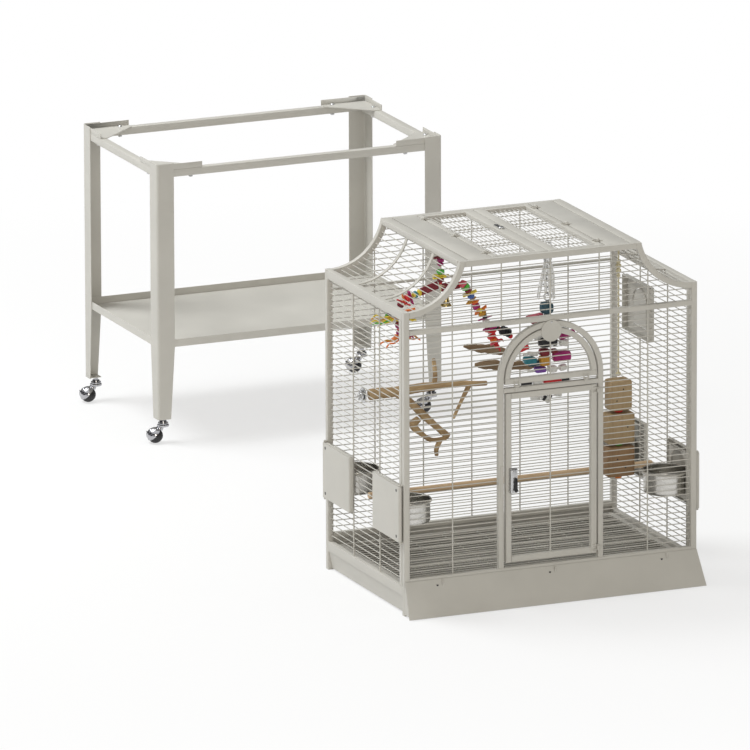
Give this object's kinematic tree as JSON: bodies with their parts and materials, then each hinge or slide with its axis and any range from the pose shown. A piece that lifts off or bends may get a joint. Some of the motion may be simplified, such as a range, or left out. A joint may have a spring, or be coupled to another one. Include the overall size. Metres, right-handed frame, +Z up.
{
  "type": "bird cage on stand",
  "caption": "Wire bird cage with arched door, feeder cups, pull-out tray, perches and toys, and its separate rolling stand with a shelf.",
  "frame": {"origin": "on the floor under the centre of the whole set's box", "axes": "+Z up, the cage's and stand's fronts face -Y, +X to the right seen from the front"},
  "size_m": [0.9, 2.3552, 0.9033],
  "materials": {
    "powder_coat": "warm light-grey powder coat",
    "steel_bright": "bright zinc-plated steel",
    "bowl_steel": "polished stainless steel",
    "chrome": "chrome-plated caster hood",
    "wheel_black": "black rubber tread",
    "lever_dark": "black moulded",
    "dowel_wood": "smooth turned wood",
    "branch_wood": "natural branch",
    "bark": "cork bark",
    "toy_blocks": "dyed wood blocks on steel chain",
    "toy_wood": "raw wood blocks on a rope",
    "toy_rope": "dyed wood beads and slats on a cord"
  },
  "bodies": {
    "cage_and_stand": {"stand_leg_front_left": "powder_coat", "stand_leg_front_right": "powder_coat", "stand_leg_back_left": "powder_coat", "stand_leg_back_right": "powder_coat", "stand_rails": "powder_coat", "corner_gussets": "powder_coat", "gusset_bolts": "steel_bright", "shelf_tray": "powder_coat", "caster_stems": "chrome", "front_frame": "powder_coat", "back_frame": "powder_coat", "side_frames": "powder_coat", "cove_tubes": "powder_coat", "roof_frame": "powder_coat", "arch_frame": "powder_coat", "front_grille": "powder_coat", "back_grille": "powder_coat", "left_grille": "powder_coat", "right_grille": "powder_coat", "cove_grilles": "powder_coat", "base_skirts": "powder_coat", "hinge_rings": "powder_coat", "nest_plate": "powder_coat", "dowel_perch": "dowel_wood", "branch_clamp": "steel_bright", "branch_perch": "branch_wood", "bark_slabs": "bark", "rope_toy": "toy_rope"},
    "main_door": {"door_frame": "powder_coat", "door_grille": "powder_coat", "latch_case": "steel_bright"},
    "door_latch": {"latch_lever": "lever_dark"},
    "arch_window": {"window_frame": "powder_coat", "window_grille": "powder_coat"},
    "round_catch": {"turn_catch": "powder_coat"},
    "left_roof_door": {"roof_door_left": "powder_coat"},
    "right_roof_door": {"roof_door_right": "powder_coat"},
    "roof_button": {"roof_latch": "steel_bright"},
    "nest_hatch": {"nest_flap": "powder_coat"},
    "tray": {"tray_pan": "powder_coat", "tray_apron": "powder_coat", "floor_grate": "powder_coat"},
    "block_chain": {"block_toy": "toy_blocks"},
    "wood_block_toy": {"wood_toy": "toy_wood"},
    "caster_swivel_front_left": {"caster_hood_front_left": "chrome"},
    "caster_ball_front_left": {"caster_wheel_front_left": "wheel_black"},
    "caster_swivel_front_right": {"caster_hood_front_right": "chrome"},
    "caster_ball_front_right": {"caster_wheel_front_right": "wheel_black"},
    "caster_swivel_back_left": {"caster_hood_back_left": "chrome"},
    "caster_ball_back_left": {"caster_wheel_back_left": "wheel_black"},
    "caster_swivel_back_right": {"caster_hood_back_right": "chrome"},
    "caster_ball_back_right": {"caster_wheel_back_right": "wheel_black"},
    "feeder_front_left": {"feeder_door_front_left": "powder_coat", "bowl_front_left": "bowl_steel"},
    "feeder_front_right": {"feeder_door_front_right": "powder_coat", "bowl_front_right": "bowl_steel"},
    "feeder_back_left": {"feeder_door_back_left": "powder_coat", "bowl_back_left": "bowl_steel"},
    "feeder_back_right": {"feeder_door_back_right": "powder_coat", "bowl_back_right": "bowl_steel"}
  },
  "joints": [
    {"name": "caster_swivel_front_left", "type": "hinge", "parent": "cage_and_stand", "child": "caster_swivel_front_left", "pos_m": [-0.336, 0.69155, 0.05], "axis": [0, 0, 1], "continuous": true},
    {"name": "caster_roll_front_left", "type": "hinge", "parent": "caster_swivel_front_left", "child": "caster_ball_front_left", "pos_m": [-0.358, 0.69155, 0.02], "axis": [-0.7071, 0, 0.7071], "continuous": true},
    {"name": "caster_swivel_front_right", "type": "hinge", "parent": "cage_and_stand", "child": "caster_swivel_front_right", "pos_m": [0.428, 0.69155, 0.05], "axis": [0, 0, 1], "continuous": true},
    {"name": "caster_roll_front_right", "type": "hinge", "parent": "caster_swivel_front_right", "child": "caster_ball_front_right", "pos_m": [0.406, 0.69155, 0.02], "axis": [-0.7071, 0, 0.7071], "continuous": true},
    {"name": "caster_swivel_back_left", "type": "hinge", "parent": "cage_and_stand", "child": "caster_swivel_back_left", "pos_m": [-0.336, 1.15555, 0.05], "axis": [0, 0, 1], "continuous": true},
    {"name": "caster_roll_back_left", "type": "hinge", "parent": "caster_swivel_back_left", "child": "caster_ball_back_left", "pos_m": [-0.358, 1.15555, 0.02], "axis": [-0.7071, 0, 0.7071], "continuous": true},
    {"name": "caster_swivel_back_right", "type": "hinge", "parent": "cage_and_stand", "child": "caster_swivel_back_right", "pos_m": [0.428, 1.15555, 0.05], "axis": [0, 0, 1], "continuous": true},
    {"name": "caster_roll_back_right", "type": "hinge", "parent": "caster_swivel_back_right", "child": "caster_ball_back_right", "pos_m": [0.406, 1.15555, 0.02], "axis": [-0.7071, 0, 0.7071], "continuous": true},
    {"name": "main_door_hinge", "type": "hinge", "parent": "cage_and_stand", "child": "main_door", "pos_m": [0.089, -1.1341, 0.326], "axis": [0, 0, 1], "range_deg": [0, 160]},
    {"name": "door_latch_turn", "type": "hinge", "parent": "main_door", "child": "door_latch", "pos_m": [-0.14098, -1.13045, 0.3255], "axis": [0, 1, 0], "range_deg": [0, 90]},
    {"name": "arch_window_hinge", "type": "hinge", "parent": "cage_and_stand", "child": "arch_window", "pos_m": [-0.038, -1.1341, 0.5625], "axis": [1, 0, 0], "range_deg": [0, 90]},
    {"name": "round_catch_turn", "type": "hinge", "parent": "arch_window", "child": "round_catch", "pos_m": [-0.038, -1.13045, 0.695], "axis": [0, 1, 0], "range_deg": [0, 180]},
    {"name": "left_roof_door_hinge", "type": "hinge", "parent": "cage_and_stand", "child": "left_roof_door", "pos_m": [-0.1915, -0.88045, 0.89965], "axis": [0, -1, 0], "range_deg": [0, 110]},
    {"name": "right_roof_door_hinge", "type": "hinge", "parent": "cage_and_stand", "child": "right_roof_door", "pos_m": [0.1155, -0.88045, 0.89965], "axis": [0, 1, 0], "range_deg": [0, 110]},
    {"name": "roof_button_turn", "type": "hinge", "parent": "left_roof_door", "child": "roof_button", "pos_m": [-0.0525, -0.85545, 0.896], "axis": [0, 0, -1], "range_deg": [0, 90]},
    {"name": "feeder_hinge_front_left", "type": "hinge", "parent": "cage_and_stand", "child": "feeder_front_left", "pos_m": [-0.445, -1.11845, 0.26], "axis": [0, 0, 1], "range_deg": [0, 110]},
    {"name": "feeder_hinge_front_right", "type": "hinge", "parent": "cage_and_stand", "child": "feeder_front_right", "pos_m": [0.369, -1.11845, 0.26], "axis": [0, 0, 1], "range_deg": [-110, 0]},
    {"name": "feeder_hinge_back_left", "type": "hinge", "parent": "cage_and_stand", "child": "feeder_back_left", "pos_m": [-0.445, -0.64245, 0.26], "axis": [0, 0, 1], "range_deg": [-110, 0]},
    {"name": "feeder_hinge_back_right", "type": "hinge", "parent": "cage_and_stand", "child": "feeder_back_right", "pos_m": [0.369, -0.64245, 0.26], "axis": [0, 0, 1], "range_deg": [0, 110]},
    {"name": "nest_hatch_hinge", "type": "hinge", "parent": "cage_and_stand", "child": "nest_hatch", "pos_m": [0.36565, -0.8302, 0.62], "axis": [0, 0, 1], "range_deg": [-110, 0]},
    {"name": "tray_slide", "type": "slide", "parent": "cage_and_stand", "child": "tray", "axis": [0, -1, 0], "range_m": [0, 0.4]},
    {"name": "block_chain_swing", "type": "hinge", "parent": "cage_and_stand", "child": "block_chain", "pos_m": [0.011, -0.99845, 0.8767], "axis": [0, 1, 0], "range_deg": [-8, 8]},
    {"name": "wood_toy_swing", "type": "hinge", "parent": "cage_and_stand", "child": "wood_block_toy", "pos_m": [0.22915, -0.94545, 0.83607], "axis": [0, 1, 0], "range_deg": [-5, 5]}
  ]
}
